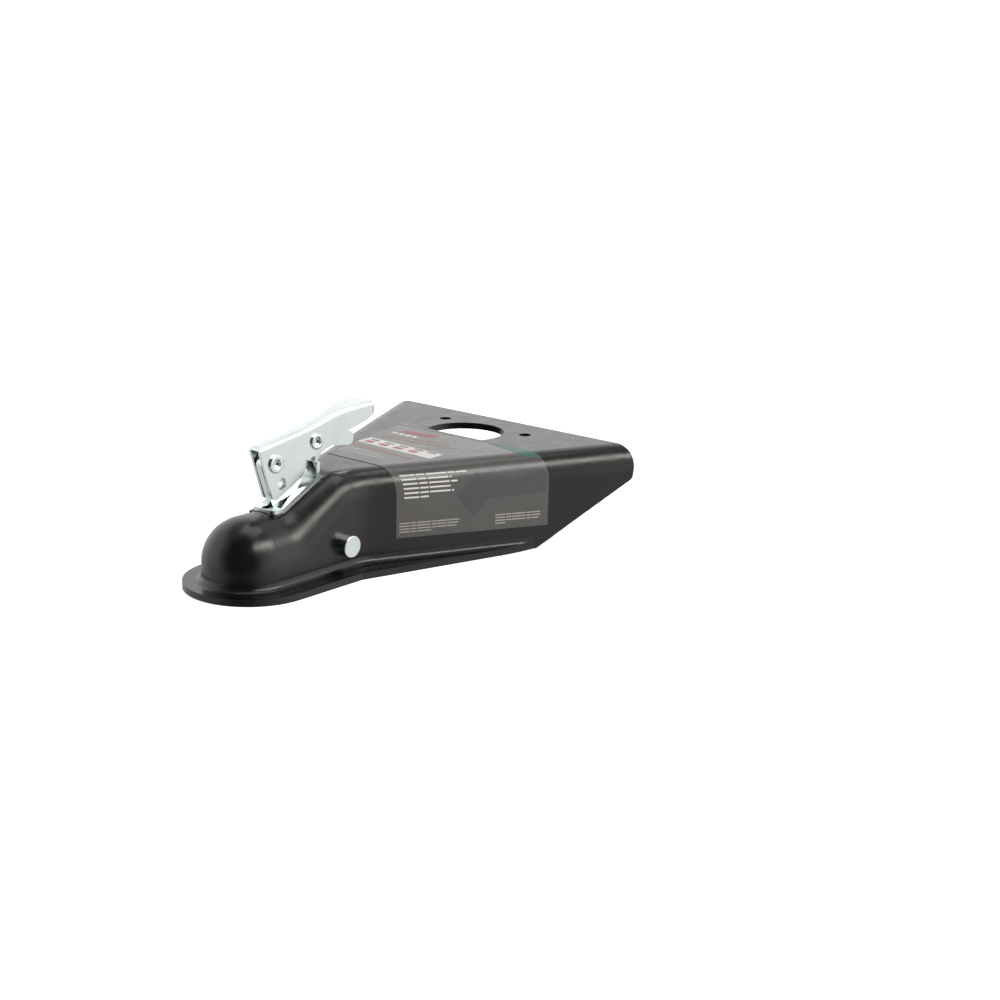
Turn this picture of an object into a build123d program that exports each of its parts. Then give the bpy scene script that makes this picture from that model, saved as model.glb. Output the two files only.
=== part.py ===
from build123d import *
from math import asin, atan2, cos, degrees, hypot, radians, sin, sqrt, tan
import os

# Trailer coupling head for an A-frame drawbar. Millimetres, X to the rear, Z up,
# origin at the centre of the ball it closes on.

# Driving sizes of the stamped body
BALL = 50.8
BALL_CLEARANCE = 0.4
SHEET = 4.7
DECK_HEIGHT = 50.8
RIM_DEPTH = 16.5
BODY_REAR = 262.5
WALL_ANGLE = 25.0
FLARE_START = 75.5
FLARE_RADIUS = 36.0
RAMP_ANGLE = 27.0
RAMP_START = 22.5
RAMP_RADIUS = 20.0
DECK_SHOULDER = 17.5
LIP_FILLET = 5.0
LIP_REACH = 15.0
LOFT_END = 102.0
LIP_TAPER_START = 60.0
REAR_CUT_START = 191.5
REAR_CUT_TOP = 28.0
JACK_X = 213.5
JACK_BORE = 57.15
JACK_CIRCLE = 88.9
JACK_BOLT = 8.7

# Driving sizes of the latch
STRIP = 2.8
STRIP_HALF = 10.5
BAR = 5.0
BAR_WIDTH = 20.0
BAR_FOOT = 15.0
PIVOT_ABOVE_RAMP = 29.46
PIVOT_ALONG_RAMP = 13.1
HANDLE_SHEET = 2.2
CAM_RADIUS = 26.3
TRIGGER_SHEET = 1.6
TRIGGER_LAG = 3.0
RIVET = 6.0
RIVET_HEAD = 12.4
TRIGGER_RIVET_HEAD = 10.8
RIVET_PROUD = 1.6
SAFETY_HOLE = 8.0
STRIP_FRONT = 9.3
STRIP_RUN = 36.6
CATCH_RISE = 11.4
CATCH_HOLE_RISE = 6.3
CATCH_HALF = 3.4

# Places on the lever, from its pivot: to the rear, up
TRIGGER_OFF = (36.7, 8.6)
SAFETY_OFF = (5.4, -14.5)
HANDLE_TOP = [(-14.4, 12.3), (13.2, 16.6), (39.2, 21.2), (63.2, 27.3)]
HANDLE_END_UP = 30.1
HANDLE_REAR = 86.7
HANDLE_FLARE = 49.2
HANDLE_WIDE = 14.0
HANDLE_ROUND = 4.5
HANDLE_BEND = 25.0

# Driving sizes of the clamp
CROSS_AT = (59.5, 4.6)
CROSS_PIN = 12.7
CROSS_HEAD = 15.2
CROSS_PROUD = 7.0
TRAVEL = 5.0
STEM_PIN = 7.9
JAW_HALF = 18.0
CHEEK = 5.0
CLIP = 1.0
HUB_HALF = 23.8
HUB = 9.0
EYE = 12.5
SPRING_WIRE = 2.4

# Fits
RUN = 0.05
SLIP = 0.35
GAP = 0.3

# Sizes that follow from the driving ones
DOME = BALL / 2 + BALL_CLEARANCE + SHEET
SOCKET = DOME - SHEET
RIM = -RIM_DEPTH
LIP_TOP = RIM + SHEET
WALL_SLOPE = tan(radians(WALL_ANGLE))
RAMP_SLOPE = tan(radians(RAMP_ANGLE))
RAMP_END = RAMP_START + (DECK_HEIGHT - DOME) / RAMP_SLOPE
RAMP_TANGENT = RAMP_RADIUS * tan(radians(RAMP_ANGLE / 2))
FLARE_TANGENT = FLARE_RADIUS * tan(radians(WALL_ANGLE / 2))
ALONG = (cos(radians(RAMP_ANGLE)), sin(radians(RAMP_ANGLE)))
NORMAL = (-ALONG[1], ALONG[0])
HANDLE_HALF = BAR / 2 + 0.8 + HANDLE_SHEET
FORK_GAP = BAR / 2 + 0.7
SPRING_MEAN = HUB + 0.7 + SPRING_WIRE / 2
SPRING_INNER = FORK_GAP + CHEEK + 0.4 + SPRING_WIRE / 2
SIDE = Plane(origin=(0, 0, 0), x_dir=(1, 0, 0), z_dir=(0, -1, 0))


def ramp_point(t, m):
    """Point (x, z) at t along the ramp from its foot and m above it."""
    return (
        RAMP_START + t * ALONG[0] + m * NORMAL[0],
        DOME + t * ALONG[1] + m * NORMAL[1],
    )


HANDLE_AT = ramp_point(PIVOT_ALONG_RAMP, PIVOT_ABOVE_RAMP)


def on_lever(dx, dz):
    """Point (x, z) on the lever from its pivot."""
    return (HANDLE_AT[0] + dx, HANDLE_AT[1] + dz)


TRIGGER_PIVOT = on_lever(*TRIGGER_OFF)
SAFETY_AT = on_lever(*SAFETY_OFF)
STRIP_TOP = ramp_point(STRIP_RUN, 0)
CATCH_X = STRIP_TOP[0] + 0.8
CATCH_Z = STRIP_TOP[1] + CATCH_HOLE_RISE


def blend(x, corner, tangent, radius, slope):
    """Height gained past a corner rounded by an arc, from level to a slope."""
    angle = atan2(slope, 1)
    if x <= corner - tangent:
        return 0.0
    if x >= corner + tangent * cos(angle):
        return (x - corner) * slope
    return radius - sqrt(radius**2 - (x - corner + tangent) ** 2)


def half_width(x):
    """Outer half width of the body at x: straight neck, then the flare."""
    return DOME + blend(x, FLARE_START, FLARE_TANGENT, FLARE_RADIUS, WALL_SLOPE)


def crown(x):
    """Outer height of the body at x: dome top, ramp, deck."""
    if x < (RAMP_START + RAMP_END) / 2:
        return DOME + blend(x, RAMP_START, RAMP_TANGENT, RAMP_RADIUS, RAMP_SLOPE)
    mirrored = RAMP_START + RAMP_END - x
    fall = blend(mirrored, RAMP_START, RAMP_TANGENT, RAMP_RADIUS, RAMP_SLOPE)
    return DECK_HEIGHT - fall


def shoulder(x):
    """Shoulder radius at x: nearly a full round at the dome, tighter on the deck."""
    full = DOME - 0.4
    share = min(max((x - 10.0) / 64.0, 0.0), 1.0)
    share = share * share * (3 - 2 * share)
    return full + (DECK_SHOULDER - full) * share


def slope_at(form, x):
    """Slope of a form curve at x."""
    return (form(x + 0.05) - form(x - 0.05)) / 0.1


def wire_3d(x, points):
    """Closed face in the plane at x; a point given with a middle ends an arc."""
    edges = []
    last = points[-1][-1]
    for item in points:
        end = item[-1]
        a = Vector(x, *last)
        b = Vector(x, *end)
        if len(item) == 2:
            edges.append(Edge.make_three_point_arc(a, Vector(x, *item[0]), b))
        else:
            edges.append(Edge.make_line(a, b))
        last = end
    return Face(Wire(edges))


def arc_mid(cy, cz, radius, angle):
    """Middle point of an arc about a centre."""
    return (cy + radius * cos(radians(angle)), cz + radius * sin(radians(angle)))


def half_profile(x, inset):
    """Right half of a cross-section, from the top middle out to the lip and down."""
    side = inset * sqrt(1 + slope_at(half_width, x) ** 2)
    top = inset * sqrt(1 + slope_at(crown, x) ** 2)
    w = half_width(x) - side
    h = crown(x) - top
    r = min(shoulder(x) - inset, w - 0.3)
    bend = LIP_FILLET + inset
    z_bend = LIP_TOP + LIP_FILLET
    z_lip = LIP_TOP - inset
    reach = w + bend + 18.0
    bottom = RIM - (2.0 if inset else 0.0)
    return [
        ((w - r, h),),
        (arc_mid(w - r, h - r, r, 45), (w, h - r)),
        ((w, z_bend),),
        (arc_mid(w + bend, z_bend, bend, 225), (w + bend, z_lip)),
        ((reach, z_lip),),
        ((reach, bottom),),
    ]


def section(x, inset):
    """Whole cross-section at x."""
    right = half_profile(x, inset)
    ends = [item[-1] for item in right]
    middles = [item[0] if len(item) == 2 else None for item in right]
    left = []
    for index in range(len(right) - 1, 0, -1):
        y, z = ends[index - 1]
        if middles[index]:
            my, mz = middles[index]
            left.append(((-my, mz), (-y, z)))
        else:
            left.append(((-y, z),))
    y_low, z_low = ends[-1]
    return wire_3d(x, right + [((-y_low, z_low),)] + left)


def form(inset):
    """Solid of the stamping at an inset: nose by revolving, the rest by lofting."""
    stations = [LOFT_END * i / 24 for i in range(25)]
    front = loft([section(x, inset) for x in stations])
    rear = BODY_REAR + (1.0 if inset else 0.0)
    back = loft([section(LOFT_END, inset), section(rear, inset)], ruled=True)
    right = half_profile(0, inset)
    low = (0.0, right[-1][-1][1])
    top = (0.0, crown(0) - inset)
    nose = revolve(wire_3d(0, right + [(low,), (top,)]), Axis.Z, 180)
    whole = nose + front + back
    return whole - land(inset, True) + land(inset, False)


def side_plate(points, half, rounded=None):
    """Plate from an outline in the side plane, half thick to both sides of the middle."""
    face = make_face(Polyline(*[(p[0], p[1]) for p in points], close=True))
    if rounded:
        for index, radius in rounded.items():
            target = Vector(points[index][0], points[index][1])
            corner = min(face.vertices(), key=lambda v: (Vector(*v) - target).length)
            face = fillet(corner, radius)
    return extrude(SIDE * face, half, both=True)


def rod(x, z, radius, y0, y1):
    """Round bar across the part between two Y positions."""
    plane = Plane(origin=(x, y0, z), x_dir=(1, 0, 0), z_dir=(0, 1, 0))
    return extrude(plane * Circle(radius), y1 - y0)


def strip_line():
    """Underside of the welded strip: front tab, foot of the ramp, top of its run."""
    foot = ramp_point(0.0, 0)
    return [(foot[0] - STRIP_FRONT, foot[1] - 0.3), foot, STRIP_TOP]


def land(inset, above):
    """Space above, or metal below, the flat land pressed into the ramp."""
    front, foot, top = strip_line()
    lift = (top[0] + 4 * ALONG[0], top[1] + 4 * ALONG[1])
    edge = 22.0 if above else -10.0
    points = [
        (front[0] - 0.9 + inset * 0.3, front[1] - 0.3 - inset),
        (foot[0] + inset * 0.2, foot[1] - inset),
        (lift[0] + inset * ALONG[1], lift[1] - inset * ALONG[0]),
        (lift[0] + inset * ALONG[1], lift[1] + edge),
        (front[0] - 0.9 + inset * 0.3, front[1] + edge),
    ]
    return side_plate(points, STRIP_HALF + 1.2 - inset * 0.3)


def deck_flat(more):
    """Flat plate of the deck between its shoulders, or its place with more on both sides."""
    ends = [(LOFT_END + 2.0, 0.5), (BODY_REAR + 2.0, 0.5)]
    right = [(x, half_width(x) - DECK_SHOULDER - play) for x, play in ends]
    outline = right + [(x, -y) for x, y in right[::-1]]
    place = Plane.XY.offset(DECK_HEIGHT - SHEET - more)
    return extrude(place * make_face(Polyline(*outline, close=True)), SHEET + 2 * more)


def coupler_body():
    """Stamped shell with its lip, holes, slot and diagonal rear cut."""
    shell = form(0.0) - form(SHEET)
    wall_end = half_width(REAR_CUT_START)
    nose = LIP_REACH + DOME
    outline = Polyline(
        (3, nose),
        (LIP_TAPER_START, nose),
        (REAR_CUT_START, wall_end),
        (BODY_REAR + 2, half_width(BODY_REAR + 2) + 1),
        (BODY_REAR + 2, -half_width(BODY_REAR + 2) - 1),
        (REAR_CUT_START, -wall_end),
        (LIP_TAPER_START, -nose),
        (3, -nose),
    )
    outline = outline + ThreePointArc((3, -nose), (3 - nose, 0), (3, nose))
    keep = extrude(Plane.XY.offset(RIM - 1) * make_face(outline), LIP_TOP + 8 - RIM)
    slab = Pos(100, 0, RIM - 1) * Box(
        500, 400, LIP_TOP + LIP_FILLET + 0.2 - RIM + 1, align=(Align.CENTER, Align.CENTER, Align.MIN)
    )
    shell = shell - (slab - keep)
    profile = [
        (-60, RIM - 2),
        (REAR_CUT_START - 3.2, RIM - 2),
        (BODY_REAR - 2.1, REAR_CUT_TOP),
        (BODY_REAR, DECK_HEIGHT - 6),
        (BODY_REAR, DECK_HEIGHT + 10),
        (-60, DECK_HEIGHT + 10),
    ]
    shell = shell - deck_flat(2.0) + deck_flat(0.0)
    shell = shell & side_plate(profile, 140, {2: 5.0})
    shell = shell - Pos(JACK_X, 0, DECK_HEIGHT) * Cylinder(JACK_BORE / 2, 4 * SHEET)
    for angle in (-60, 60, 180):
        x = JACK_X + JACK_CIRCLE / 2 * cos(radians(angle))
        y = JACK_CIRCLE / 2 * sin(radians(angle))
        shell = shell - Pos(x, y, DECK_HEIGHT) * Cylinder(JACK_BOLT / 2, 4 * SHEET)
    shell = shell - rod(*CROSS_AT, CROSS_PIN / 2 + RUN, -DOME - 5, DOME + 5)
    return shell - bar_slot()


def bar_axis(distance):
    """Point on the draw bar's centre line at a distance below the handle pivot."""
    return (HANDLE_AT[0] + BAR_DIR[0] * distance, HANDLE_AT[1] + BAR_DIR[1] * distance)


def bar_direction():
    """Direction of the draw bar, at right angles to the clamp's arm at half travel."""
    dx = CROSS_AT[0] - HANDLE_AT[0]
    dz = CROSS_AT[1] - HANDLE_AT[1]
    reach = hypot(dx, dz)
    swing = atan2(dz, dx) - atan2(ARM, sqrt(reach**2 - ARM**2))
    return (cos(swing), sin(swing))


ARM = 19.7
CLAMP_SWING = 2 * asin(TRAVEL / 2 / ARM)
BAR_DIR = bar_direction()
BAR_DOWN = sqrt((CROSS_AT[0] - HANDLE_AT[0]) ** 2 + (CROSS_AT[1] - HANDLE_AT[1]) ** 2 - ARM**2)
STEM_PIN_AT = bar_axis(BAR_DOWN - TRAVEL / 2)


def bar_slot():
    """Slot that the draw bar goes down through, in the strip and the shell."""
    middle = bar_axis(30.0)
    front = middle[0] - BAR_WIDTH / 2 - 6.0
    rear = middle[0] + BAR_WIDTH / 2 + 1.7
    height = 30.0
    box = Pos((front + rear) / 2, 0, middle[1]) * Box(rear - front, BAR + 1.0, height)
    return fillet(box.edges().filter_by(Axis.Z), (BAR + 1.0) / 2 - 0.1)


def latch_base_plate():
    """Folded strip welded on the ramp: front tab, flat run, upturned catch end."""
    front, foot, bend = strip_line()
    top = (CATCH_X, bend[1] + CATCH_RISE)
    line = Polyline(front, foot, bend, top)
    band = sheet_band(line, STRIP)
    corner = min(band.vertices(), key=lambda v: (Vector(*v) - Vector(*bend, 0)).length)
    band = fillet(corner, STRIP + 1.5)
    strip = extrude(SIDE * band, STRIP_HALF, both=True)
    upright = strip.edges().filter_by(Axis.X).sort_by(Axis.Z)[-2:]
    strip = fillet(upright, 4.0) if len(upright) == 2 else strip
    corners = [e for e in strip.edges() if (e @ 0.5).X < front[0] + 0.6 and abs((e @ 0.5).Y) > STRIP_HALF - 0.1]
    corners = [e for e in corners if abs(e.length - STRIP) < 0.3 and abs((e % 0.5).Z) > 0.9]
    strip = fillet(corners, 3.5)
    window = Pos(bend[0], 0, CATCH_Z) * Box(16, 2 * CATCH_HALF, 4.0)
    return strip - bar_slot() - window


def sheet_band(line, thickness):
    """Face of one sheet thickness on the upper side of a line in the side plane."""
    points = [Vector(*v) for v in line.vertices()]
    upper = []
    for index, point in enumerate(points):
        before = points[max(index - 1, 0)]
        after = points[min(index + 1, len(points) - 1)]
        first = (point - before) if index else (after - point)
        second = (after - point) if index < len(points) - 1 else first
        n1 = Vector(-first.Y, first.X).normalized()
        n2 = Vector(-second.Y, second.X).normalized()
        middle = (n1 + n2).normalized()
        upper.append(point + middle * (thickness / middle.dot(n1)))
    outline = points + upper[::-1]
    return make_face(Polyline(*outline, close=True))


def cam_point(t, m):
    """Point (x, z) at t along and m above the handle pivot, in the ramp's directions."""
    return ramp_point(PIVOT_ALONG_RAMP + t, PIVOT_ABOVE_RAMP + m)


def handle_plan(inset):
    """Outline of the handle seen from above, at an inset."""
    half = HANDLE_HALF - inset
    front = HANDLE_AT[0] - 33.0
    flare = HANDLE_AT[0] + HANDLE_FLARE
    rear = HANDLE_AT[0] + HANDLE_REAR
    slope = (HANDLE_WIDE - HANDLE_HALF) / (rear - flare)
    end = rear - inset
    wide = half + slope * (end - flare)
    right = [(front, -half), (flare, -half), (end, -wide)]
    points = right + [(x, -y) for x, y in right[::-1]]
    face = make_face(Polyline(*points, close=True))
    corners = face.vertices().sort_by(Axis.X)[-2:]
    face = fillet(corners, max(HANDLE_ROUND - inset, 0.5))
    bends = [v for v in face.vertices() if abs(v.X - flare) < 1.0]
    return fillet(bends, HANDLE_BEND)


def handle():
    """Lever folded from sheet: cam cheeks below the pivot, channel, cupped rear end."""
    corner = cam_point(-13.3, -20.6)
    start = cam_point(3, -CAM_RADIUS)
    middle = cam_point(3 - 8.65 * CAM_RADIUS / 26.3, -24.84 * CAM_RADIUS / 26.3)
    heel = cam_point(7.4, -CAM_RADIUS)
    cam = ThreePointArc(corner, middle, start)
    crest = handle_crest(0.0)
    shelf = [on_lever(31.0, -2.3), on_lever(60.7, 10.9), on_lever(HANDLE_REAR - 8.5, 17.4)]
    tail = [heel, *shelf, on_lever(HANDLE_REAR - 1.0, 22.6), ((crest @ 1).X, HANDLE_AT[1] + 24.0)]
    rest = Polyline(start, *tail, crest @ 1)
    face = make_face(cam + rest + crest + Line(crest @ 0, corner))
    near = [v for v in face.vertices() if (Vector(*v) - Vector(*corner, 0)).length < 0.1]
    face = fillet(near, 3.0)
    body = extrude(SIDE * face, 20, both=True) & extrude(handle_plan(0), 80).moved(Pos(0, 0, 25))
    tops = [e for e in body.edges() if on_handle_top(e)]
    body = fillet(tops, 2.9)
    lid = handle_crest(HANDLE_SHEET)
    below = Polyline(lid @ 1, ((lid @ 1).X, 20.0), ((lid @ 0).X - 20, 20.0), (lid @ 0) - (20, 0), lid @ 0)
    hollow = extrude(SIDE * make_face(lid + below), 20, both=True)
    hollow = hollow & extrude(handle_plan(HANDLE_SHEET), 80).moved(Pos(0, 0, 25))
    body = body - hollow
    body = body - rod(*HANDLE_AT, RIVET / 2 + RUN, -9, 9)
    body = body - rod(*TRIGGER_PIVOT, RIVET / 2, -9, 9)
    return body - rod(*SAFETY_AT, SAFETY_HOLE / 2, -9, 9)


def handle_crest(inset):
    """Curve of the handle's top in the side plane, from front to rear."""
    places = HANDLE_TOP + [(HANDLE_REAR - 1.5, HANDLE_END_UP), (HANDLE_REAR + 4.0, HANDLE_END_UP + 0.4)]
    return Spline(*[on_lever(x, z - inset) for x, z in places])


def on_handle_top(edge):
    """Whether an edge of the handle blank lies along its top face."""
    middle = edge @ 0.5
    crest = handle_crest(0.0)
    near = min((crest @ (i / 60) for i in range(61)), key=lambda p: abs(p.X - middle.X))
    return abs(middle.Z - near.Y) < 0.6 and abs(middle.Y) > 0.5 and edge.length > 1.0


def ring_rivet(at, half, head):
    """Tubular rivet across the part, its ends rolled into rings on both sides."""
    whole = rod(*at, RIVET / 2, -half, half)
    bore = RIVET / 2 - 0.4
    for side in (-1, 1):
        y0, y1 = sorted((side * half, side * (half + RIVET_PROUD)))
        ring = rod(*at, head / 2, y0, y1) - rod(*at, bore, y0, y1)
        rims = ring.edges().filter_by(GeomType.CIRCLE).group_by(Axis.Y)[0 if side < 0 else -1]
        depth = sorted((side * (half - 1.0), side * half))
        whole = whole - rod(*at, bore, *depth) + fillet(rims, RIVET_PROUD * 0.7)
    return whole


def latch_stem():
    """Flat draw bar from the handle pivot down to the clamp."""
    length = BAR_DOWN - TRAVEL / 2
    ends = Pos(*HANDLE_AT) * Circle(BAR_WIDTH / 2) + Pos(*bar_axis(length)) * Circle(BAR_FOOT / 2)
    face = make_hull(ends.edges())
    bar = extrude(SIDE * face, BAR / 2, both=True)
    bar = bar - rod(*HANDLE_AT, RIVET / 2, -9, 9)
    bar = bar - rod(*STEM_PIN_AT, STEM_PIN / 2, -9, 9)
    return bar - rod(*SAFETY_AT, SAFETY_HOLE / 2, -9, 9)


def stem_pin():
    """Headed pin through the foot of the draw bar and the clamp's cheeks."""
    outer = FORK_GAP + CHEEK + SLIP
    pin = rod(*STEM_PIN_AT, STEM_PIN / 2, -outer - 2.2, outer + 3.2)
    head = rod(*STEM_PIN_AT, STEM_PIN / 2 + 2.2, -outer - 2.2, -outer)
    groove = rod(*STEM_PIN_AT, STEM_PIN / 2 + 1, outer, outer + CLIP)
    core = rod(*STEM_PIN_AT, STEM_PIN / 2 - 0.8, outer, outer + CLIP)
    return pin + head - (groove - core)


def stem_pin_clip():
    """Open retaining clip in the pin's groove."""
    outer = FORK_GAP + CHEEK + SLIP
    ring = rod(*STEM_PIN_AT, STEM_PIN / 2 + 2.6, outer, outer + CLIP)
    ring = ring - rod(*STEM_PIN_AT, STEM_PIN / 2 - 0.8, outer, outer + CLIP)
    gap = Pos(STEM_PIN_AT[0] - 6, outer, STEM_PIN_AT[1]) * Box(12, 4, 4.2)
    return ring - gap


def ball_clamp():
    """Cast jaw behind the ball, a fork round the draw bar and a hub on the cross pin."""
    x, z = CROSS_AT
    low = RIM + 1.2
    jaw = side_plate([(17.0, low), (29.0, low), (33.0, low + 4), (33.0, 3.0), (20.0, 3.0)], JAW_HALF, {1: 2.0, 2: 2.0})
    jaw = jaw - Sphere(BALL / 2 + SLIP)
    jaw = fillet(jaw.edges().filter_by(Axis.X), 1.2)
    arm = [
        (25.0, low),
        (31.0, low),
        (44.0, low + 3),
        (x, z - EYE),
        (x, z + EYE),
        (40.0, 9.0),
        (26.5, 2.0),
    ]
    fork = side_plate(arm, FORK_GAP + CHEEK, {2: 5.0, 5: 6.0})
    fork = fork + rod(x, z, EYE, -FORK_GAP - CHEEK, FORK_GAP + CHEEK)
    fork = fork - Sphere(BALL / 2 + SLIP)
    slot = [(30.6, 30.0), (30.6, -30.0), (x - 10.3, -30.0), (x - 10.3, 30.0)]
    hub = rod(x, z, HUB, -HUB_HALF, HUB_HALF)
    whole = jaw + fork + hub
    whole = whole - side_plate(slot, FORK_GAP)
    swing = 2 * SPRING_MEAN * sin(CLAMP_SWING / 2)
    notch_front = x - SPRING_WIRE / 2 - GAP - swing
    notch_rear = x + SPRING_WIRE / 2 + GAP
    notch_top = z - SPRING_MEAN * cos(CLAMP_SWING) + SPRING_WIRE / 2 + GAP
    notch = [(notch_front, -30.0), (notch_rear, -30.0), (notch_rear, notch_top), (notch_front, notch_top)]
    near = Pos(0, -FORK_GAP - CHEEK, 0) * side_plate(notch, CHEEK + 1.0)
    whole = whole - near
    whole = whole - rod(x, z, CROSS_PIN / 2 + RUN, -40, 40)
    return whole - rod(*STEM_PIN_AT, STEM_PIN / 2 + SLIP + 0.05, -40, 40)


def clamp_pivot_pin():
    """Cross pin with a round head outside each neck wall."""
    pin = rod(*CROSS_AT, CROSS_PIN / 2, -DOME - 1, DOME + 1)
    seat = DOME + 0.08
    near = rod(*CROSS_AT, CROSS_HEAD / 2, -DOME - CROSS_PROUD, -seat)
    far = rod(*CROSS_AT, CROSS_HEAD / 2 + 1, seat, DOME + CROSS_PROUD - 2)
    near = fillet(near.edges().filter_by(GeomType.CIRCLE).sort_by(Axis.Y)[0], 0.8)
    far = fillet(far.edges().filter_by(GeomType.CIRCLE).sort_by(Axis.Y)[-1], 2.5)
    return pin + near + far


def thrust_washer(side):
    """Washer on the cross pin between the clamp's hub and a neck wall."""
    inner = HUB_HALF + GAP
    outer = SOCKET - 0.1
    y0, y1 = (inner, outer) if side > 0 else (-outer, -inner)
    return rod(*CROSS_AT, 10.5, y0, y1) - rod(*CROSS_AT, CROSS_PIN / 2 + RUN, y0, y1)


def coil(at, wire, radius, y0, turns, pitch):
    """Round-wire coil about an axis across the part."""
    path = Helix(pitch, pitch * turns, radius, center=(at[0], y0, at[1]), direction=(0, 1, 0))
    start = path @ 0
    plane = Plane(origin=start, z_dir=path % 0)
    return sweep(plane * Circle(wire / 2), path, is_frenet=True), start, path @ 1


def leg(a, b, wire):
    """Straight piece of round wire between two points, rounded at both ends."""
    span = Vector(*b) - Vector(*a)
    plane = Plane(origin=a, z_dir=span)
    bar = extrude(plane * Circle(wire / 2), span.length)
    return bar + Pos(*a) * Sphere(wire / 2) + Pos(*b) * Sphere(wire / 2)


def clamp_torsion_spring():
    """Coil round the clamp's hub: one leg up to the ramp, a tang in the cheek's notch."""
    wire = SPRING_WIRE
    mean = SPRING_MEAN
    turns = 4.5
    pitch = wire + 0.3
    y0 = -SPRING_INNER - turns * pitch
    spring, start, end = coil(CROSS_AT, wire, mean, y0, turns, pitch)
    roof = (start.X - 15.5, start.Y + 4.2, 31.2)
    tang = (end.X, -FORK_GAP - 1.5, end.Z)
    return spring + leg(tuple(start), roof, wire) + leg(tuple(end), tang, wire)


def trigger_outline():
    """Side view of the trigger: ears, finger, nose and tooth."""
    tooth = CATCH_X + GAP + 0.3
    x, z = TRIGGER_PIVOT
    return [
        (x - 4.9, z - 4.3),
        (x - 4.9, z + 3.7),
        (x + 2.5, z + 6.2),
        (x + 26.5, z + 4.2),
        (x + 33.5, z + 1.1),
        (x + 32.9, z - 7.7),
        (x + 18.5, z - 6.1),
        (x + 13.5, z - 6.9),
        (x + 7.5, z - 9.3),
        (x + 3.1, z - 13.8),
        (x + 2.7, CATCH_Z - 1.4),
        (tooth, CATCH_Z - 1.4),
        (tooth, CATCH_Z + 1.0),
        (CATCH_X + 2.7, CATCH_Z + 1.8),
        (CATCH_X + 2.5, z - 10.8),
    ]


def trigger():
    """Finger trigger folded as a channel that is open above, with a catch tooth."""
    rounding = {1: 3.0, 2: 4.0, 4: 3.6, 5: 3.6, 6: 9.0, 8: 5.0, 9: 3.0, 0: 2.0}
    block = side_plate(trigger_outline(), 20, rounding)
    lag = Pos(TRIGGER_LAG, 0, 25)
    block = block & extrude(handle_plan(HANDLE_SHEET + SLIP), 80).moved(lag)
    raised = side_plate(trigger_outline(), 20).moved(Pos(0, 0, TRIGGER_SHEET + 0.4))
    room = extrude(handle_plan(HANDLE_SHEET + SLIP + TRIGGER_SHEET), 80).moved(lag)
    x, z = TRIGGER_PIVOT
    tooth_keep = Pos(x + 0.5, 0, CATCH_Z - 3.4) * Box(8, 20, 22)
    block = block - ((raised & room) - tooth_keep)
    ear_room = Pos(x - 1.0, 0, z + 1.2) * Box(11, 2 * (HANDLE_HALF - HANDLE_SHEET - SLIP - TRIGGER_SHEET), 14)
    block = block - ear_room
    lift = Pos(x + 12.5, 0, z + 13.7) * Box(60, 40, 16)
    block = block - lift
    return block - rod(*TRIGGER_PIVOT, RIVET / 2 + RUN, -9, 9)


def trigger_torsion_spring():
    """Small coil on the trigger's rivet between the ears."""
    wire = 0.9
    mean = RIVET / 2 + 0.35 + wire / 2
    spring, start, end = coil(TRIGGER_PIVOT, wire, mean, -0.5, 1.0, 1.0)
    lid = on_lever(*HANDLE_TOP[2])[1] - HANDLE_SHEET
    up = (start.X - 1.0, start.Y, lid - wire / 2 - 1.9)
    return spring + leg(tuple(start), up, wire)


def write_parts(pieces):
    """Write one file for each named piece."""
    os.makedirs("parts", exist_ok=True)
    for name, shape in pieces.items():
        export_step(shape, f"parts/{name}.step")


if __name__ == "__main__":
    write_parts(
        {
            "coupler_body": coupler_body(),
            "latch_base_plate": latch_base_plate(),
            "latch_stem": latch_stem(),
            "handle": handle(),
            "handle_pivot_rivet": ring_rivet(HANDLE_AT, HANDLE_HALF + 0.1, RIVET_HEAD),
            "trigger": trigger(),
            "trigger_pivot_rivet": ring_rivet(TRIGGER_PIVOT, HANDLE_HALF, TRIGGER_RIVET_HEAD),
            "trigger_torsion_spring": trigger_torsion_spring(),
            "ball_clamp": ball_clamp(),
            "clamp_pivot_pin": clamp_pivot_pin(),
            "thrust_washer_near": thrust_washer(-1),
            "thrust_washer_far": thrust_washer(1),
            "clamp_torsion_spring": clamp_torsion_spring(),
            "stem_pin": stem_pin(),
            "stem_pin_clip": stem_pin_clip(),
        }
    )
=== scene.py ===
"""Looks of the trailer coupling head: finishes, print film, studio and camera.

Every length is in millimetres unless a name ends in _m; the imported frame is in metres.
"""

from __future__ import annotations

import logging
import math
from dataclasses import dataclass, field
from enum import Enum
from typing import ClassVar

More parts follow.
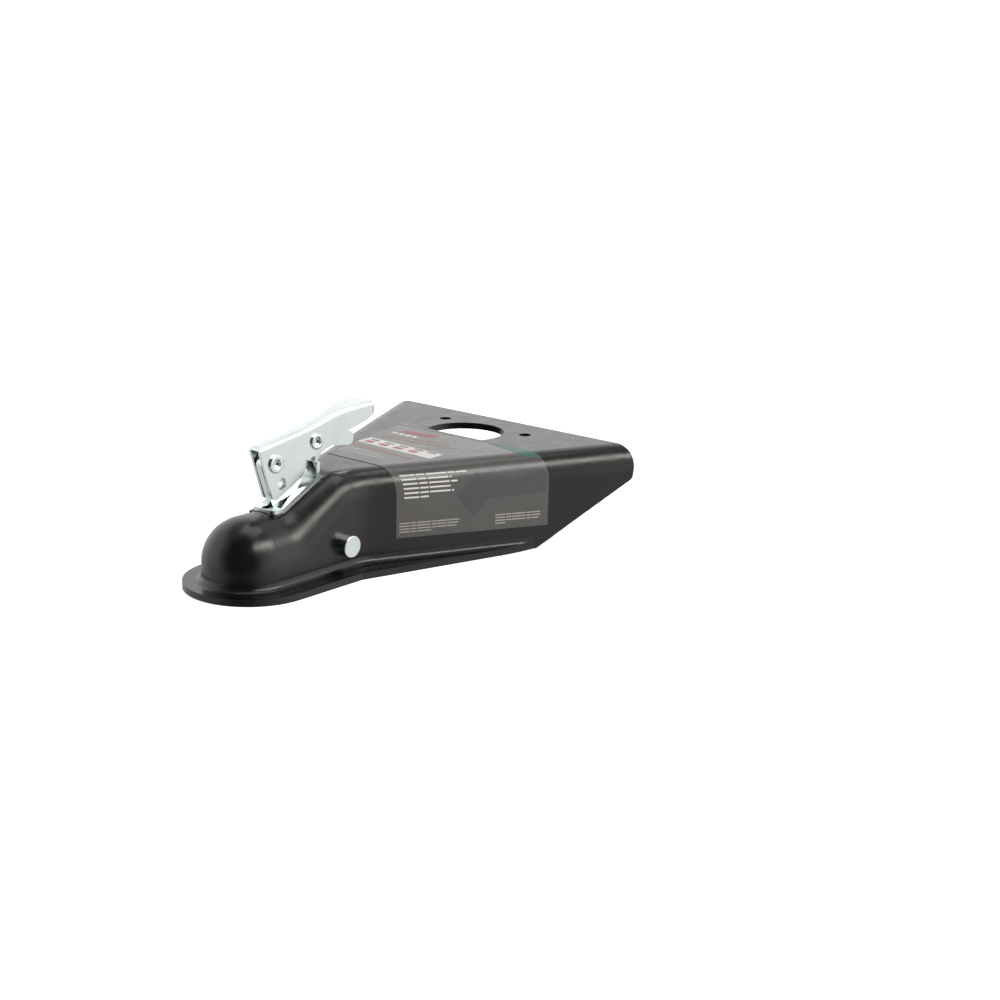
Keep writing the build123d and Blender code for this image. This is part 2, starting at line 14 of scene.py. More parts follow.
import bpy
import numpy as np
from mathutils import Euler, Matrix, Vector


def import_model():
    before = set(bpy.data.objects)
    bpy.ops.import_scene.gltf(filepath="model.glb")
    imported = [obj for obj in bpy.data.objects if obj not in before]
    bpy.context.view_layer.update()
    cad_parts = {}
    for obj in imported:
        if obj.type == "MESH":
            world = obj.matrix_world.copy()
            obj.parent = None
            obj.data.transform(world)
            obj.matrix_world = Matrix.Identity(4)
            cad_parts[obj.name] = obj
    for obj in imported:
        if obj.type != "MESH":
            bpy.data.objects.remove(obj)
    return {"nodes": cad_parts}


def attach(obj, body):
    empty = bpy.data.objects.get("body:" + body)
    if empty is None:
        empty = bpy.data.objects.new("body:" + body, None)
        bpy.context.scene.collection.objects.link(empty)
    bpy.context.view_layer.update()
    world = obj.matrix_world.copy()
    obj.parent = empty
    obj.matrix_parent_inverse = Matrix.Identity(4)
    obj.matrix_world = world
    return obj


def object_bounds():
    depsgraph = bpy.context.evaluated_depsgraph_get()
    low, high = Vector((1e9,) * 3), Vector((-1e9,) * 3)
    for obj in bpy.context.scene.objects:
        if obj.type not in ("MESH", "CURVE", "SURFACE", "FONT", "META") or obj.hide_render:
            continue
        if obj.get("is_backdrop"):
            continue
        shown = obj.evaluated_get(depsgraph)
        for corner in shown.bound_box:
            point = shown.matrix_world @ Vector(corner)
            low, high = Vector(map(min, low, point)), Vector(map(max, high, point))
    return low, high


LOG = logging.getLogger("coupling_head")
MM = 0.001

# Edges of the film and inks that turn by more degrees than this stay sharp.
EDGE_ANGLE = 35.0
# The floor lies this much below the lip, so that the two don't share a plane.
FLOOR_DROP_M = 0.0002

Span = tuple[float, float]
Corners = tuple[Span, ...]


class Finish(Enum):
    """Finishes of the head's pieces, of the inks on its film and of the floor."""

    COAT = "black_coat"
    ZINC = "bright_zinc"
    SPRING = "oiled_spring"
    CAST = "phosphate_cast"
    FILM = "print_film"
    INK_WHITE = "ink_white"
    INK_RED = "ink_red"
    INK_TEAL = "ink_teal"
    INK_PALE = "ink_pale"
    INK_RED_OVER = "ink_red_over"
    INK_DARK_OVER = "ink_dark_over"
    INK_DARK = "ink_dark"
    PAPER = "floor_paper"


def srgb(code: str) -> tuple[float, float, float, float]:
    """Linear colour from a hex code of an sRGB colour.

    Args:
        code: Hash sign and six hex digits.

    Returns:
        Red, green, blue and full opacity.
    """
    values = [int(code[i : i + 2], 16) / 255 for i in (1, 3, 5)]
    linear = [v / 12.92 if v <= 0.04045 else ((v + 0.055) / 1.055) ** 2.4 for v in values]
    return (*linear, 1.0)


def add_node(
    tree: bpy.types.NodeTree,
    kind: str,
    links: dict[str | int, bpy.types.NodeSocket] | None = None,
    inputs: dict[str | int, object] | None = None,
    **settings: object,
) -> bpy.types.Node:
    """Add one node to a tree.

    Args:
        tree: Tree of a material or of the surroundings.
        kind: Blender's type name of the node.
        links: Input name or index to the socket that feeds it.
        inputs: Input name or index to its constant value.
        **settings: Attributes of the node.

    Returns:
        The new node.
    """
    node = tree.nodes.new(kind)
    for key, value in settings.items():
        setattr(node, key, value)
    for key, value in (inputs or {}).items():
        node.inputs[key].default_value = value
    for key, socket in (links or {}).items():
        tree.links.new(socket, node.inputs[key])
    return node


def span_inputs(span: Span, result: Span) -> dict[str, float]:
    """Input values that carry one span of numbers to another."""
    return {"From Min": span[0], "From Max": span[1], "To Min": result[0], "To Max": result[1]}


@dataclass(frozen=True)
class Grain:
    """Fine relief of a finish.

    Attributes:
        size_mm: Size of its waves.
        detail: Steps of finer waves on them.
        strength: Share of the relief that shows.
        depth_mm: Height of the waves.
        stretch: Scale of the pattern along each axis.
    """

    size_mm: float
    detail: float
    strength: float
    depth_mm: float
    stretch: tuple[float, float, float] = (1.0, 1.0, 1.0)


@dataclass(frozen=True)
class Surface:
    """One finish: two tones in soft patches, a range of roughness, a fine relief.

    Attributes:
        finish: Finish that it gives, whose value names the material.
        tones: The two sRGB tones.
        tone_mm: Size of the tone's patches.
        rough: Least and greatest roughness.
        rough_mm: Size of the roughness patches.
        metallic: Share of metal.
        tone_detail: Steps of finer patches in the tone.
        tint: sRGB tint of the reflection, where it has one.
        grain: Fine relief, where it has one.
    """

    finish: Finish
    tones: tuple[str, str]
    tone_mm: float
    rough: Span
    rough_mm: float
    metallic: float = 0.0
    tone_detail: float = 3.0
    tint: str | None = None
    grain: Grain | None = None

    rough_detail: ClassVar[float] = 3.0
    noise_span: ClassVar[Span] = (0.3, 0.7)

    def make(self) -> bpy.types.Material:
        """Make the material, its patterns in millimetres on Object coordinates.

        Returns:
            The material.
        """
        material = bpy.data.materials.new(self.finish.value)
        material.use_nodes = True
        tree = material.node_tree
        shader = tree.nodes["Principled BSDF"]
        where = self.pattern_space(tree, (1.0, 1.0, 1.0))
        tone = add_node(
            tree,
            "ShaderNodeTexNoise",
            {"Vector": where},
            {"Scale": 1 / self.tone_mm, "Detail": self.tone_detail},
        )
        colour = add_node(
            tree,
            "ShaderNodeMix",
            {0: tone.outputs["Fac"]},
            {6: srgb(self.tones[0]), 7: srgb(self.tones[1])},
            data_type="RGBA",
        )
        dull = add_node(
            tree,
            "ShaderNodeTexNoise",
            {"Vector": where},
            {"Scale": 1 / self.rough_mm, "Detail": self.rough_detail},
        )
        rough = add_node(
            tree,
            "ShaderNodeMapRange",
            {"Value": dull.outputs["Fac"]},
            span_inputs(self.noise_span, self.rough),
        )
        tree.links.new(colour.outputs[2], shader.inputs["Base Color"])
        tree.links.new(rough.outputs["Result"], shader.inputs["Roughness"])
        shader.inputs["Metallic"].default_value = self.metallic
        if self.tint is not None:
            shader.inputs["Specular Tint"].default_value = srgb(self.tint)
        if self.grain is not None:
            self.add_grain(tree, shader, self.grain)
        return material

    def add_grain(self, tree: bpy.types.NodeTree, shader: bpy.types.Node, grain: Grain) -> None:
        """Feed the shader's normal with the fine relief.

        Args:
            tree: Tree of the material.
            shader: Its shader.
            grain: The relief.
        """
        waves = add_node(
            tree,
            "ShaderNodeTexNoise",
            {"Vector": self.pattern_space(tree, grain.stretch)},
            {"Scale": 1 / grain.size_mm, "Detail": grain.detail},
        )
        relief = add_node(
            tree,
            "ShaderNodeBump",
            {"Height": waves.outputs["Fac"]},
            {"Strength": grain.strength, "Distance": grain.depth_mm * MM},
        )
        tree.links.new(relief.outputs["Normal"], shader.inputs["Normal"])

    def pattern_space(
        self, tree: bpy.types.NodeTree, stretch: tuple[float, float, float]
    ) -> bpy.types.NodeSocket:
        """Object coordinates in millimetres.

        Args:
            tree: Tree of the material.
            stretch: Scale of the pattern along each axis.

        Returns:
            Socket of the coordinates.
        """
        place = add_node(tree, "ShaderNodeTexCoord").outputs["Object"]
        scale = tuple(1 / MM * share for share in stretch)
        space = add_node(tree, "ShaderNodeMapping", {"Vector": place}, {"Scale": scale})
        return space.outputs["Vector"]


# Screen ink dries in patches of a few millimetres, between half matt and satin.
INK_TONE_MM = 5.0
INK_ROUGH = (0.35, 0.45)
INK_ROUGH_MM = 3.0


def ink(finish: Finish, low: str, high: str) -> Surface:
    """Screen ink: flat and satin, laid down a little unevenly, between two tones."""
    return Surface(finish, (low, high), INK_TONE_MM, INK_ROUGH, INK_ROUGH_MM)


SURFACES: tuple[Surface, ...] = (
    # Baked black coat over stamped steel: deep gloss with a faint orange peel.
    Surface(
        Finish.COAT,
        ("#090909", "#0e0e0e"),
        22.0,
        (0.22, 0.3),
        9.0,
        tint="#fffcf6",
        grain=Grain(2.6, 1.0, 0.06, 0.03),
    ),
    # Bright zinc plate on rolled sheet: cool, nearly white, faintly streaked upwards.
    Surface(
        Finish.ZINC,
        ("#e0e6e4", "#ced7d4"),
        14.0,
        (0.17, 0.25),
        4.0,
        metallic=1.0,
        grain=Grain(2.4, 1.0, 0.1, 0.02, (1.0, 1.0, 0.25)),
    ),
    # Drawn spring wire with a film of oil: darker and duller than the plate.
    Surface(Finish.SPRING, ("#6f6e6b", "#8b8984"), 3.0, (0.3, 0.45), 1.5, metallic=1.0),
    # Phosphated cast steel: dark grey, matt, with a sand grain of under a millimetre.
    Surface(
        Finish.CAST,
        ("#2a2a2a", "#3b3a38"),
        6.0,
        (0.55, 0.7),
        2.0,
        metallic=0.4,
        grain=Grain(0.8, 4.0, 0.5, 0.08),
    ),
    # Satin plastic film over the coat: warm grey, lighter than the coat, slightly wavy.
    Surface(
        Finish.FILM,
        ("#454340", "#4f4c49"),
        40.0,
        (0.22, 0.3),
        12.0,
        tone_detail=1.0,
        grain=Grain(14.0, 1.0, 0.08, 0.05),
    ),
    # Screen inks on the film: white, pale grey, red, teal and dark grey.
    ink(Finish.INK_WHITE, "#b9b6b1", "#cdcac5"),
    ink(Finish.INK_PALE, "#8b8884", "#9c9995"),
    ink(Finish.INK_RED, "#7a3038", "#8a3c42"),
    ink(Finish.INK_RED_OVER, "#8f4a50", "#9d565b"),
    ink(Finish.INK_TEAL, "#1a4f47", "#245e54"),
    ink(Finish.INK_DARK, "#3c3c3f", "#424245"),
    ink(Finish.INK_DARK_OVER, "#3a3432", "#47403d"),
)


class MaterialShelf:
    """All finishes, made once."""

    def __init__(self) -> None:
        """Make each finish."""
        self.by_finish = {surface.finish: surface.make() for surface in SURFACES}

    def paint(self, piece: bpy.types.Object, finish: Finish) -> None:
        """Give a piece one finish in place of what it has.

        Args:
            piece: Object that is dressed.
            finish: Finish that it gets.
        """
        piece.data.materials.clear()
        piece.data.materials.append(self.by_finish[finish])
        LOG.info("%s is dressed in %s", piece.name, finish.value)


@dataclass(frozen=True)
class CarriedAssembly:
    """Sub-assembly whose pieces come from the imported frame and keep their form.

    Attributes:
        name: Name for the log.
        finishes: Finish of each of its pieces.
    """

    name: str
    finishes: dict[str, Finish]

    def dress(self, shelf: MaterialShelf) -> None:
        """Give each piece its finish.

        Args:
            shelf: The finishes.
        """
        for node, finish in self.finishes.items():
            shelf.paint(bpy.data.objects[node], finish)
        LOG.info("%s is dressed, %d pieces", self.name, len(self.finishes))


ASSEMBLIES: tuple[CarriedAssembly, ...] = (
    CarriedAssembly(
        "stamped head",
        {"coupler_body": Finish.COAT, "latch_base_plate": Finish.ZINC},
    ),
    CarriedAssembly(
        "latch",
        {
            "latch_stem": Finish.ZINC,
            "handle": Finish.ZINC,
            "handle_pivot_rivet": Finish.ZINC,
            "trigger": Finish.ZINC,
            "trigger_pivot_rivet": Finish.ZINC,
            "trigger_torsion_spring": Finish.SPRING,
        },
    ),
    CarriedAssembly(
        "clamp",
        {
            "ball_clamp": Finish.CAST,
            "clamp_pivot_pin": Finish.ZINC,
            "thrust_washer_near": Finish.ZINC,
            "thrust_washer_far": Finish.ZINC,
            "clamp_torsion_spring": Finish.SPRING,
            "stem_pin": Finish.ZINC,
            "stem_pin_clip": Finish.SPRING,
        },
    ),
)


@dataclass(frozen=True)
class BodyForm:
    """Sizes of the stamped body behind the flare, where the film lies."""

    neck_half: float = 30.5
    flare_start: float = 75.5
    wall_angle: float = 25.0
    deck: float = 50.8
    shoulder: float = 17.5

    def half_width(self, x: np.ndarray) -> np.ndarray:
        """Half width at x: the neck's half plus the flare's straight run."""
        return self.neck_half + (x - self.flare_start) * math.tan(math.radians(self.wall_angle))

    def wall_length(self, x: float, z: float) -> float:
        """Length across the body to the near wall at height z.

        It is the deck's flat half, plus the shoulder's quarter circle, plus the drop from
        the shoulder's foot to z.

        Args:
            x: Station along the body.
            z: Height on the wall.

        Returns:
            Length from the deck's middle, over the shoulder and down the wall.
        """
        flat = float(self.half_width(np.array(x))) - self.shoulder
        return flat + self.shoulder * math.pi / 2 + self.deck - self.shoulder - z

    def point(self, x: np.ndarray, s: np.ndarray, lift: float) -> np.ndarray:
        """Points on the body for stations x and lengths s across it.

        The length s starts at the deck's middle and runs to the near side: flat to the
        shoulder, then round a quarter circle, then straight down the wall. The point is
        moved outwards along the surface normal by lift.

        Args:
            x: Stations along the body.
            s: Lengths across the body, positive to the near side.
            lift: Distance above the surface.

        Returns:
            Array of points with a last axis of three.
        """
        slope = math.tan(math.radians(self.wall_angle))
        flat = self.half_width(x) - self.shoulder
        side = np.where(s < 0, -1.0, 1.0)
        reach = np.abs(s)
        turn = np.clip((reach - flat) / self.shoulder, 0.0, math.pi / 2)
        on_flat = np.minimum(reach, flat)
        down = np.maximum(reach - flat - self.shoulder * math.pi / 2, 0.0)
        y = -side * (on_flat + self.shoulder * np.sin(turn))
        z = self.deck - self.shoulder * (1 - np.cos(turn)) - down
        normal = np.stack([-slope * np.sin(turn), -side * np.sin(turn), np.cos(turn)], axis=-1)
        normal /= np.linalg.norm(normal, axis=-1, keepdims=True)
        return np.stack([x, y, z], axis=-1) + normal * lift


def grid_between(corners: np.ndarray, rows: int, columns: int) -> tuple[np.ndarray, np.ndarray]:
    """Stations and lengths of a grid that fills four corners evenly.

    Each place is the four corners' mean, weighted by its shares u and v of the way from
    the first corner along the two sides.

    Args:
        corners: Four rows of station and length, in order round the field.
        rows: Places along the first side.
        columns: Places along the second side.

    Returns:
        Grid of stations and grid of lengths.
    """
    u, v = np.meshgrid(np.linspace(0, 1, rows), np.linspace(0, 1, columns), indexing="ij")
    places = (
        corners[0] * ((1 - u) * (1 - v))[..., None]
        + corners[1] * (u * (1 - v))[..., None]
        + corners[2] * (u * v)[..., None]
        + corners[3] * ((1 - u) * v)[..., None]
    )
    return places[..., 0], places[..., 1]


def slab(outer: np.ndarray, inner: np.ndarray) -> tuple[np.ndarray, np.ndarray]:
    """Closed thin slab between two grids of points.

    The outer grid is the top, the inner one turned over is the bottom, and a ring of
    faces along the grid's border joins them.

    Args:
        outer: Grid of points on the outer side, rows by columns by three.
        inner: The same grid on the inner side.

    Returns:
        Points and four-cornered faces with their normals outwards.
    """
    rows, columns = outer.shape[:2]
    count = rows * columns
    grid = np.arange(count).reshape(rows, columns)
    a, b = grid[:-1, :-1].ravel(), grid[:-1, 1:].ravel()
    c, d = grid[1:, 1:].ravel(), grid[1:, :-1].ravel()
    top = np.stack([a, b, c, d], axis=1)
    bottom = np.stack([a, d, c, b], axis=1) + count
    ring = np.concatenate([grid[0], grid[1:, -1], grid[-1, -2::-1], grid[-2:0:-1, 0]])
    after = np.roll(ring, -1)
    sides = np.stack([after, ring, ring + count, after + count], axis=1)
    points = np.concatenate([outer.reshape(-1, 3), inner.reshape(-1, 3)])
    return points, np.concatenate([top, bottom, sides])


def mesh_object(name: str, points: np.ndarray, faces: np.ndarray) -> bpy.types.Object:
    """Object from points and four-cornered faces, smooth but for its edges.

    Args:
        name: Name of the piece.
        points: Points in millimetres.
        faces: Rows of four point numbers.

    Returns:
        The new object, at the origin.
    """
    mesh = bpy.data.meshes.new(name)
    mesh.from_pydata((points * MM).tolist(), [], faces.tolist())
    mesh.update()
    mesh.shade_smooth()
    mesh.set_sharp_from_angle(angle=math.radians(EDGE_ANGLE))
    made = bpy.data.objects.new(name, mesh)
    bpy.context.scene.collection.objects.link(made)
    return made


@dataclass(frozen=True)
class Field:
    """One field of colour on the film, as four corners of station and length across."""

    ink: Finish
    corners: Corners


@dataclass(frozen=True)
class BandRow:
    """Row of equal bars across the deck, each with its width along the body.

    Attributes:
        ink: Ink of the bars.
        x: Station of a bar's start.
        shift: Distance along the body from a bar's start to its end.
        starts: Length across at which each bar starts.
        run: Length of each bar across the body.
        width: Width along the body.
    """

    ink: Finish
    x: float
    shift: float
    starts: tuple[float, ...]
    run: float
    width: float

    def fields(self) -> list[Field]:
        """Bars of the row.

        Returns:
            One field for each bar.
        """
        ends = self.x + self.shift
        return [
            Field(
                self.ink,
                (
                    (self.x, start),
                    (self.x + self.width, start),
                    (ends + self.width, start + self.run),
                    (ends, start + self.run),
                ),
            )
            for start in self.starts
        ]


@dataclass(frozen=True)
class DashBlock:
    """Rows of plain dashes on the near wall, parallel to the body's shoulder.

    Attributes:
        ink: Ink of the dashes.
        x: Station at which the rows start.
        s: Length across at which the first row starts.
        pitch: Distance from row to row.
        height: Height of a dash.
        rows: Length of each row.
    """

    ink: Finish
    x: float
    s: float
    pitch: float
    height: float
    rows: tuple[float, ...]

    slope: ClassVar[float] = 0.49
    shortest: ClassVar[float] = 1.0
    gap_share: ClassVar[float] = 0.75
    pattern: ClassVar[tuple[float, ...]] = (9.0, 5.0, 12.5, 4.0, 8.0, 15.0, 3.5)

    def fields(self) -> list[Field]:
        """Dashes of all rows, row after row.

        Returns:
            One field for each dash.
        """
        made: list[Field] = []
        for row, length in enumerate(self.rows):
            made += self.row_fields(self.s + self.pitch * row, length)
        return made

    def row_fields(self, start: float, length: float) -> list[Field]:
        """Dashes of one row: each starts a gap after the last one's end.

        Args:
            start: Length across at the row's start.
            length: Length of the row.

        Returns:
            One field for each dash.
        """
        made: list[Field] = []
        at = 0.0
        while at < length - self.shortest:
            share = self.pattern[len(made) % len(self.pattern)]
            step = min(share * self.height, length - at)
            x0, s0 = self.x + at, start + self.slope * at
            x1, s1 = x0 + step, s0 + self.slope * step
            corners = ((x0, s0), (x1, s1), (x1, s1 + self.height), (x0, s0 + self.height))
            made.append(Field(self.ink, corners))
            at += step + self.gap_share * self.height
        return made


@dataclass(frozen=True)
class DeckPrint:
    """Fields on the deck: a white strip with cells, a red bar, stripes, a teal edge."""

    strip: Corners = ((136.8, -34.8), (151.6, -35.0), (149.4, 36.0), (134.8, 37.0))
    red_bar: Corners = ((177.0, -33.0), (184.0, -32.0), (189.0, -2.0), (181.5, -1.0))
    teal_corner: Corners = ((196.5, 36.5), (199.9, 37.5), (200.1, 82.0), (188.0, 73.0))
    rows: tuple[BandRow, ...] = (
        BandRow(Finish.INK_RED_OVER, 139.3, -0.3, (-31.0, -17.0, -3.0, 11.0), 8.0, 5.2),
        BandRow(Finish.INK_DARK_OVER, 146.6, -0.4, (-31.0, -17.0, -3.0, 11.0, 23.0), 8.5, 2.2),
        BandRow(Finish.INK_WHITE, 172.0, 0.0, (-35.0, -28.6, -22.2, -15.8), 4.6, 4.2),
        BandRow(Finish.INK_RED, 158.0, 10.0, (-31.0,), 64.0, 1.2),
        BandRow(Finish.INK_RED, 163.5, 10.0, (-30.0,), 50.0, 1.2),
        BandRow(Finish.INK_RED, 125.5, 0.0, (-33.0,), 63.0, 0.9),
        BandRow(Finish.INK_RED, 129.0, 0.0, (-33.0,), 45.0, 0.9),
        BandRow(Finish.INK_WHITE, 112.0, 0.0, (-30.0,), 44.0, 0.6),
        BandRow(Finish.INK_WHITE, 116.0, 0.0, (-30.0,), 40.0, 0.6),
        BandRow(Finish.INK_WHITE, 120.0, 0.0, (-30.0,), 36.0, 0.6),
        BandRow(Finish.INK_TEAL, 195.6, 2.4, (-48.6,), 84.6, 1.6),
    )

    def fields(self) -> list[Field]:
        """All fields of the deck.

        Returns:
            Strip, bar, rows and corner, in that order.
        """
        made = [Field(Finish.INK_WHITE, self.strip), Field(Finish.INK_RED, self.red_bar)]
        for row in self.rows:
            made += row.fields()
        return [*made, Field(Finish.INK_TEAL, self.teal_corner)]


@dataclass(frozen=True)
class WallPrint:
    """Fields on the near wall: blocks of plain dashes and a dark faceted patch."""

    facets: tuple[Corners, ...] = (
        ((137.5, 74.0), (152.0, 66.0), (160.0, 88.0), (149.0, 96.0)),
        ((152.2, 66.2), (176.0, 84.0), (184.0, 100.0), (160.2, 88.2)),
        ((176.2, 84.2), (199.4, 89.5), (199.2, 106.0), (184.2, 100.2)),
    )
    blocks: tuple[DashBlock, ...] = (
        DashBlock(Finish.INK_WHITE, 102.6, 39.6, 3.1, 1.1, (44.0, 33.0, 36.0, 31.0, 33.0, 17.0)),
        DashBlock(Finish.INK_PALE, 99.6, 71.6, 2.0, 0.75, (40.0, 39.0, 38.0, 22.0)),
        DashBlock(Finish.INK_PALE, 164.0, 102.6, 2.0, 0.75, (31.0, 31.5, 30.0, 8.0)),
    )

    def fields(self) -> list[Field]:
        """All fields of the wall.

        Returns:
            The patch's facets, then the dashes.
        """
        made = [Field(Finish.INK_DARK, corners) for corners in self.facets]
        for block in self.blocks:
            made += block.fields()
        return made


@dataclass(frozen=True)
class PrintFilm:
    """Film over the deck and the near wall, with its fields of ink.

    Attributes:
        shelf: The finishes.
        form: The body's surface, which film and ink follow.
        front, rear: Stations of its two cross edges.
        far_front, far_rear: Lengths across at its far edge.
        near_front_z, near_rear_z: Heights of its near edge on the wall.
        gap: Distance from the body to the film.
        thickness: Thickness of the film.
        ink_gap, ink_top: Heights of an ink's two sides above what it lies on.
        ink_step: Height that an ink printed over another one adds.
        grid: Places along and across the film.
        ink_cell: Size of a face along and across a field.
    """

    shelf: MaterialShelf
    form: BodyForm = field(default_factory=BodyForm)
    front: float = 97.5
    rear: float = 200.5
    far_front: float = -25.0
    far_rear: float = -50.0
    near_front_z: float = 3.0
    near_rear_z: float = 1.0
    gap: float = 0.06
    thickness: float = 0.2
    ink_gap: float = 0.01
    ink_top: float = 0.045
    ink_step: float = 0.05
    grid: tuple[int, int] = (60, 160)
    ink_cell: tuple[float, float] = (3.0, 1.5)

    over_inks: ClassVar[tuple[Finish, ...]] = (Finish.INK_RED_OVER, Finish.INK_DARK_OVER)

    def build(self, fields: list[Field]) -> list[bpy.types.Object]:
        """Make the film and one piece for each ink.

        Args:
            fields: The fields of colour.

        Returns:
            The film, then the inks by name.
        """
        made = [self.film()]
        for colour in sorted({place.ink for place in fields}, key=lambda found: found.value):
            corners = [np.array(place.corners) for place in fields if place.ink is colour]
            made.append(self.ink_layer(colour, corners))
        return made

    def film(self) -> bpy.types.Object:
        """Make the film: a thin slab that follows deck, shoulder and wall.

        Returns:
            The film.
        """
        corners = np.array(
            [
                (self.front, self.far_front),
                (self.rear, self.far_rear),
                (self.rear, self.form.wall_length(self.rear, self.near_rear_z)),
                (self.front, self.form.wall_length(self.front, self.near_front_z)),
            ]
        )
        x, s = grid_between(corners, *self.grid)
        outer = self.form.point(x, s, self.gap + self.thickness)
        made = mesh_object("print_film", *slab(outer, self.form.point(x, s, self.gap)))
        self.shelf.paint(made, Finish.FILM)
        return made

    def ink_layer(self, colour: Finish, areas: list[np.ndarray]) -> bpy.types.Object:
        """All fields of one ink as one piece.

        Args:
            colour: The ink.
            areas: Four corners of each field.

        Returns:
            The piece, a thin slab for each field.
        """
        points: list[np.ndarray] = []
        faces: list[np.ndarray] = []
        start = 0
        base = self.gap + self.thickness + self.ink_step * (colour in self.over_inks)
        for corners in areas:
            cells = np.ptp(corners, axis=0) / self.ink_cell
            x, s = grid_between(corners, max(2, int(cells[0])), max(2, int(cells[1])))
            outer = self.form.point(x, s, base + self.ink_top)
            area_points, area_faces = slab(outer, self.form.point(x, s, base + self.ink_gap))
            points.append(area_points)
            faces.append(area_faces + start)
            start += len(area_points)
        made = mesh_object(f"print_{colour.value}", np.concatenate(points), np.concatenate(faces))
        self.shelf.paint(made, colour)
        return made


@dataclass(frozen=True)
class CameraPlan:
    """Camera as fitted to the photograph.

    Attributes:
        place_mm: Where it stands.
        yaw: Turn about the vertical, in degrees.
        pitch: Look down, in degrees.
        focal_px: Focal length in pixels of the frame.
        centre_px: Column of the frame that the lens looks at.
        frame_px: Width of the frame in pixels.
        sensor: Width of the sensor.
        clip_m: Nearest and farthest distance that it sees.
    """

    place_mm: tuple[float, float, float] = (-699.67, -787.34, 336.05)
    yaw: float = -45.6
    pitch: float = 15.66
    focal_px: float = 1691.47
    centre_px: float = 360.0
    frame_px: float = 1000.0
    sensor: float = 36.0
    clip_m: tuple[float, float] = (0.05, 20.0)

    def build(self) -> None:
        """Make the scene's camera."""
        data = bpy.data.cameras.new("camera")
        data.sensor_width = self.sensor
        data.lens = self.focal_px / self.frame_px * data.sensor_width
        data.shift_x = (self.frame_px / 2 - self.centre_px) / self.frame_px
        data.clip_start, data.clip_end = self.clip_m
        camera = bpy.data.objects.new("camera", data)
        camera.location = tuple(v * MM for v in self.place_mm)
        camera.rotation_euler = (math.radians(90 - self.pitch), 0.0, math.radians(self.yaw))
        bpy.context.scene.collection.objects.link(camera)
        bpy.context.scene.camera = camera


def direction(azimuth: float, elevation: float) -> tuple[float, float, float]:
    """Unit vector at an azimuth from the X axis and an elevation, in degrees."""
    a, e = math.radians(azimuth), math.radians(elevation)
    return (math.cos(a) * math.cos(e), math.sin(a) * math.cos(e), math.sin(e))


@dataclass(frozen=True)
class Lamp:
    """One soft area light, aimed at the object.

    Attributes:
        name: Name of the light.
        azimuth: Side that it stands on, in degrees from the X axis.
        elevation: Height that it stands at, in degrees.
        distance_m: Distance from the object.
        size_m: Its two sides.
        power: Power in watts.
        roll: Turn about its own axis, in degrees.
    """

    name: str
    azimuth: float
    elevation: float
    distance_m: float
    size_m: tuple[float, float]
    power: float
    roll: float = 0.0

    aim_m: ClassVar[tuple[float, float, float]] = (0.12, 0.0, 0.03)

    def build(self) -> None:
        """Make the light."""
        data = bpy.data.lights.new(self.name, "AREA")
        data.shape = "RECTANGLE"
        data.size, data.size_y = self.size_m
        data.energy = self.power
        away = np.array(direction(self.azimuth, self.elevation))
        tilt = math.pi / 2 - math.radians(self.elevation)
        heading = math.radians(self.azimuth) + math.pi / 2
        turn = Euler((tilt, 0.0, heading)).to_matrix()
        turn = turn @ Matrix.Rotation(math.radians(self.roll), 3, "Z")
        place = np.array(self.aim_m) + away * self.distance_m
        made = bpy.data.objects.new(self.name, data)
        made.matrix_world = Matrix.Translation(place) @ turn.to_4x4()
        bpy.context.scene.collection.objects.link(made)
        LOG.info("%s lights the head", self.name)


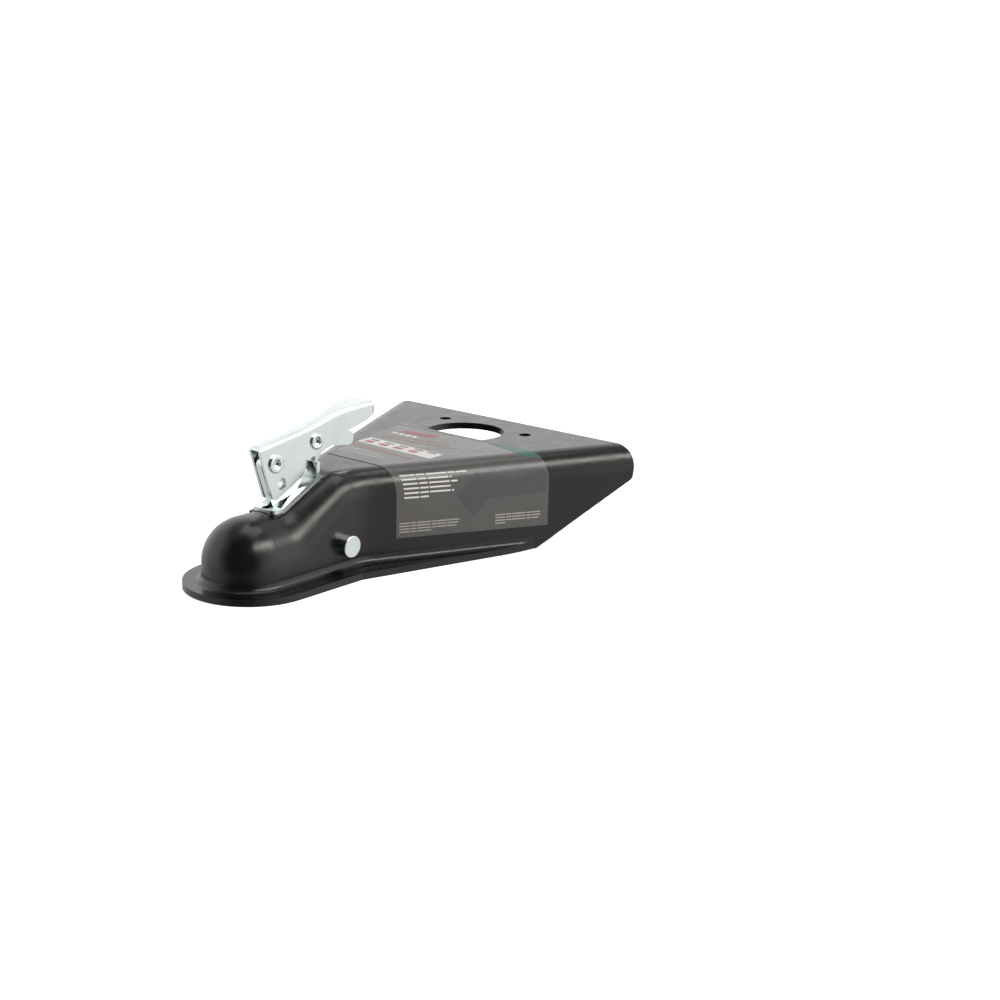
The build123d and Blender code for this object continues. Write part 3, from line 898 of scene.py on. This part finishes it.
@dataclass(frozen=True)
class Studio:
    """Pale floor, white surroundings low down, dim ceiling, long softbox in front.

    Attributes:
        lamps: The lights.
        dark_side: Azimuth and elevation of the dark screen beside the camera.
        bright_way: Direction of the bright screen on the right.
        side_fade: Cosines to the dark side, and the brightness that they give.
        top_fade: Rise of the direction, and its brightness under the dim ceiling.
        low_fade: Rise of the direction, and its brightness near the floor.
        right_fade: Cosines to the bright screen, and the brightness that they give.
        floor_half_m: Half of the floor's side.
        paper: The floor's two tones.
        paper_mm: Size of the patches between them.
        paper_rough: The floor's roughness.
        paper_specular: The floor's share of specular reflection.
        paper_glow: Light of its own that keeps the floor white.
    """

    lamps: tuple[Lamp, ...] = (
        Lamp("front_strip", -80.0, 45.0, 1.2, (1.15, 0.32), 8.0, roll=-12.0),
        Lamp("ceiling", 20.0, 80.0, 1.6, (1.0, 1.0), 6.0),
    )
    dark_side: Span = (-150.0, 22.0)
    bright_way: tuple[float, float, float] = (0.74, -0.62, -0.26)
    side_fade: tuple[Span, Span] = ((0.35, 0.85), (1.0, 0.06))
    top_fade: tuple[Span, Span] = ((0.62, 0.86), (1.0, 0.28))
    low_fade: tuple[Span, Span] = ((-0.35, 0.1), (0.72, 1.25))
    right_fade: tuple[Span, Span] = ((0.62, 0.95), (1.0, 1.2))
    floor_half_m: float = 8.0
    paper: tuple[str, str] = ("#f4f4f4", "#fafafa")
    paper_mm: float = 300.0
    paper_rough: float = 0.9
    paper_specular: float = 0.1
    paper_glow: float = 0.65

    def build(self, floor_z: float) -> None:
        """Make floor, surroundings and lights.

        Args:
            floor_z: Height of the floor in metres.
        """
        half = self.floor_half_m
        corners = [(-half, -half, floor_z), (half, -half, floor_z)]
        corners += [(half, half, floor_z), (-half, half, floor_z)]
        mesh = bpy.data.meshes.new("floor")
        mesh.from_pydata(corners, [], [(0, 1, 2, 3)])
        mesh.materials.append(self.floor_paper())
        floor = bpy.data.objects.new("floor", mesh)
        floor.visible_glossy = False
        bpy.context.scene.collection.objects.link(floor)
        floor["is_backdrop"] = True
        self.build_world()
        for lamp in self.lamps:
            lamp.build()

    def floor_paper(self) -> bpy.types.Material:
        """Make matt white paper with a little light of its own.

        Returns:
            The material.
        """
        rough = (self.paper_rough, self.paper_rough)
        paper = Surface(Finish.PAPER, self.paper, self.paper_mm, rough, self.paper_mm).make()
        shader = paper.node_tree.nodes["Principled BSDF"]
        shader.inputs["Specular IOR Level"].default_value = self.paper_specular
        shader.inputs["Emission Color"].default_value = srgb("#ffffff")
        shader.inputs["Emission Strength"].default_value = self.paper_glow
        return paper

    def build_world(self) -> None:
        """Surroundings whose brightness is the product of four smooth fades."""
        world = bpy.data.worlds.new("studio")
        world.use_nodes = True
        tree = world.node_tree
        back = tree.nodes["Background"]
        way = add_node(tree, "ShaderNodeTexCoord").outputs["Generated"]
        rise = add_node(tree, "ShaderNodeSeparateXYZ", {0: way}).outputs["Z"]
        to_dark, to_right = (
            add_node(
                tree, "ShaderNodeVectorMath", {0: way}, {1: towards}, operation="DOT_PRODUCT"
            ).outputs["Value"]
            for towards in (direction(*self.dark_side), self.bright_way)
        )
        measures = (
            (to_dark, self.side_fade),
            (rise, self.top_fade),
            (rise, self.low_fade),
            (to_right, self.right_fade),
        )
        fades = [
            add_node(
                tree,
                "ShaderNodeMapRange",
                {"Value": value},
                span_inputs(span, result),
                interpolation_type="SMOOTHSTEP",
            ).outputs["Result"]
            for value, (span, result) in measures
        ]
        whole = fades[0]
        for fade in fades[1:]:
            product = add_node(tree, "ShaderNodeMath", {0: whole, 1: fade}, operation="MULTIPLY")
            whole = product.outputs[0]
        tree.links.new(whole, back.inputs["Strength"])
        back.inputs["Color"].default_value = srgb("#ffffff")
        bpy.context.scene.world = world
        bpy.context.scene.view_settings.view_transform = "Standard"


def main() -> None:
    """Dress the frame, add the film, light it and set the camera."""
    logging.basicConfig(level=logging.INFO)
    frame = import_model()
    before = tuple(tuple(v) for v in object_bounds())
    shelf = MaterialShelf()
    for assembly in ASSEMBLIES:
        assembly.dress(shelf)
    film = PrintFilm(shelf)
    for piece in film.build(DeckPrint().fields() + WallPrint().fields()):
        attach(piece, "head")
        LOG.info("%s rides on the head", piece.name)
    Studio().build(floor_z=before[0][2] - FLOOR_DROP_M)
    CameraPlan().build()
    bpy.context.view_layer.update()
    dressed = sum(len(assembly.finishes) for assembly in ASSEMBLIES)
    LOG.info("%d of the frame's %d pieces are dressed", dressed, len(frame["nodes"]))


if __name__ == "__main__":
    main()
